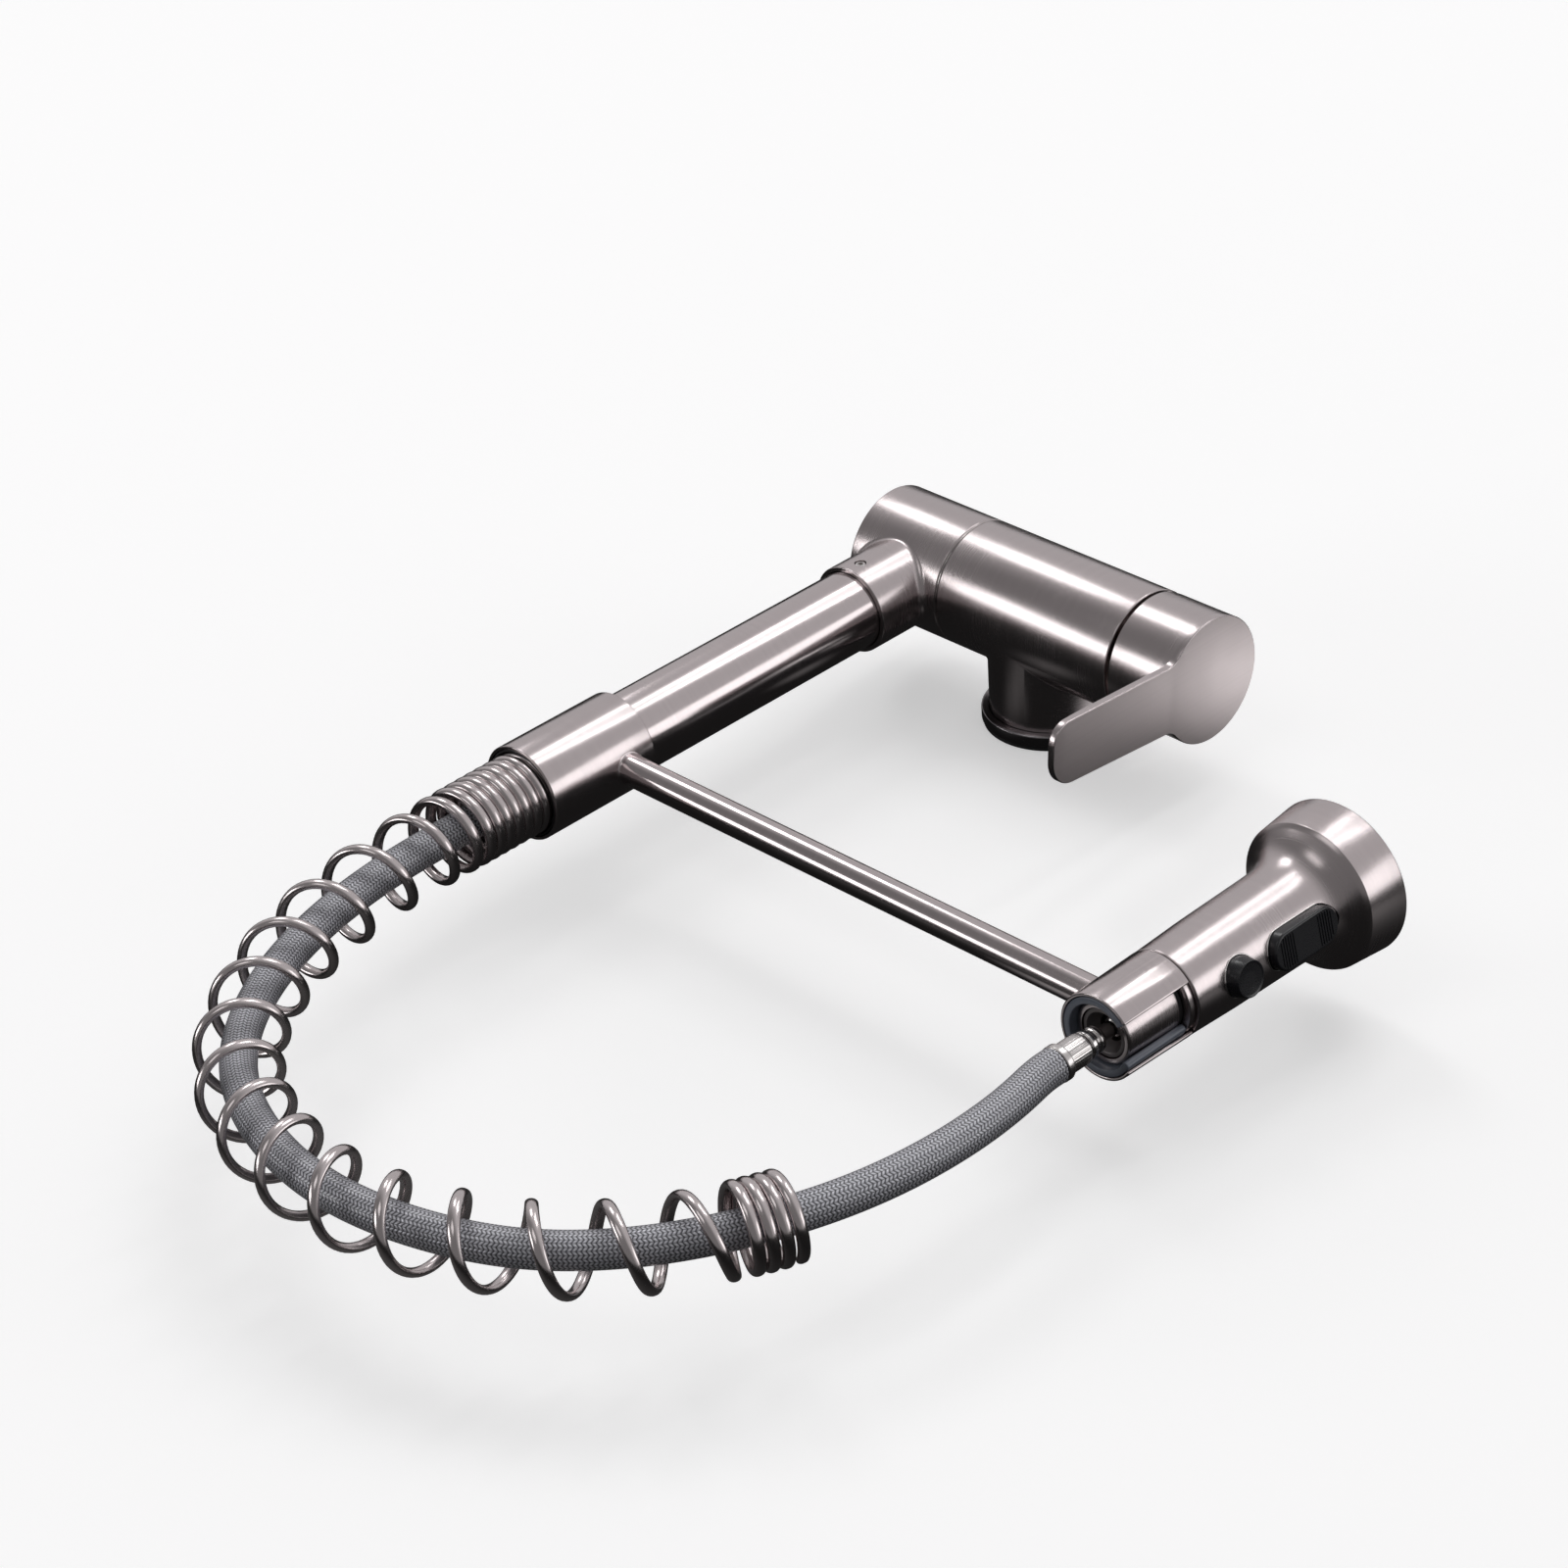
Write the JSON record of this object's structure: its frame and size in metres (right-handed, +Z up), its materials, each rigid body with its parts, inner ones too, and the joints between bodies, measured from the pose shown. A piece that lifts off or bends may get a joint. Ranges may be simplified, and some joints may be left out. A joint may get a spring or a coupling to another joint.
{
  "type": "pull-down kitchen faucet",
  "caption": "Fold-down brushed-nickel kitchen faucet: side lever, turning riser, side arm with a clip, open spring round a braided hose, and a pull-down spray head.",
  "frame": {"origin": "on the deck, under the centre of the base stub", "axes": "+Z up, +X along the horizontal body towards the lever, the folded riser points along -Y"},
  "size_m": [0.3068, 0.4571, 0.0755],
  "materials": {
    "brushed_nickel": "brushed nickel plate",
    "polished_steel": "polished",
    "dark_nickel": "satin, dark",
    "brass": "machined",
    "rubber": "matte",
    "black_plastic": "satin",
    "grey_plastic": "satin",
    "white_plastic": "moulded",
    "ceramic": "lapped",
    "braid": "woven grey braid over a rubber tube",
    "red_plastic": "gloss"
  },
  "bodies": {
    "base": {"base_gasket": "rubber", "base_flange": "dark_nickel", "body_shell": "brushed_nickel", "fold_spigot": "brass", "spigot_o_ring_inner": "rubber", "spigot_o_ring_outer": "rubber", "retaining_washer": "polished_steel", "retaining_screw": "polished_steel", "cartridge_housing": "white_plastic", "ceramic_disc_fixed": "ceramic", "bonnet_nut": "brass"},
    "collar": {"tee_collar": "brushed_nickel", "tee_set_screw": "polished_steel", "fold_slide_ring": "polished_steel", "collar_end_cap": "brushed_nickel"},
    "spout": {"riser_tube": "brushed_nickel", "riser_o_ring_upper": "rubber", "riser_o_ring_lower": "rubber", "arm_sleeve": "brushed_nickel", "sleeve_mouth_bush": "black_plastic", "hose_inlet_fitting": "brass", "arm_rod": "brushed_nickel", "clip_shell": "brushed_nickel", "clip_liner": "grey_plastic", "hose": "braid", "neck_spring": "polished_steel"},
    "hose_end": {"hose_ferrule": "polished_steel", "ball_fitting": "polished_steel"},
    "spray_head": {"head_tail": "brushed_nickel", "swivel_nut": "polished_steel", "ball_seat_washer": "rubber", "check_valve": "white_plastic", "tail_o_ring": "rubber", "shoulder_ring": "polished_steel", "head_shell": "brushed_nickel", "head_core": "white_plastic", "spray_housing": "black_plastic", "spray_face": "black_plastic", "aerator": "grey_plastic"},
    "pause_key": {"pause_button": "black_plastic"},
    "mode_key": {"mode_rocker": "black_plastic"},
    "lever_turret": {"ceramic_disc_moving": "ceramic", "disc_carrier": "black_plastic", "cartridge_turret": "white_plastic", "lever_pivot_pin": "polished_steel"},
    "lever": {"lever_handle": "brushed_nickel", "handle_set_screw": "polished_steel", "index_plug": "red_plastic", "cartridge_stem": "brass"}
  },
  "joints": [
    {"name": "spout_fold", "type": "hinge", "parent": "base", "child": "collar", "pos_m": [-0.0585, 0, 0.0464], "axis": [-1, 0, 0], "range_deg": [0, 90]},
    {"name": "spout_swivel", "type": "hinge", "parent": "collar", "child": "spout", "pos_m": [-0.0585, 0, 0.0464], "axis": [0, -1, 0], "range_deg": [-180, 180]},
    {"name": "head_pull", "type": "slide", "parent": "spout", "child": "hose_end", "axis": [0, 1, 0], "range_m": [0, 0.07], "deforming": ["hose", "neck_spring"]},
    {"name": "head_spin", "type": "hinge", "parent": "hose_end", "child": "spray_head", "pos_m": [0.1984, -0.1816, 0.0464], "axis": [0, 1, 0], "continuous": true},
    {"name": "pause_press", "type": "slide", "parent": "spray_head", "child": "pause_key", "axis": [-0.9781, 0, -0.2079], "range_m": [0, 0.0025], "stiffness_N_per_m": 400},
    {"name": "mode_rock", "type": "hinge", "parent": "spray_head", "child": "mode_key", "pos_m": [0.21454, -0.1136, 0.04983], "axis": [-0.2079, 0, 0.9781], "range_deg": [-4, 4]},
    {"name": "lever_turn", "type": "hinge", "parent": "base", "child": "lever_turret", "pos_m": [0.057, 0, 0.0464], "axis": [-1, 0, 0], "range_deg": [-20, 80]},
    {"name": "lever_tilt", "type": "hinge", "parent": "lever_turret", "child": "lever", "pos_m": [0.057, 0, 0.0464], "axis": [0, 0.0767, 0.9971], "range_deg": [0, 15]}
  ]
}
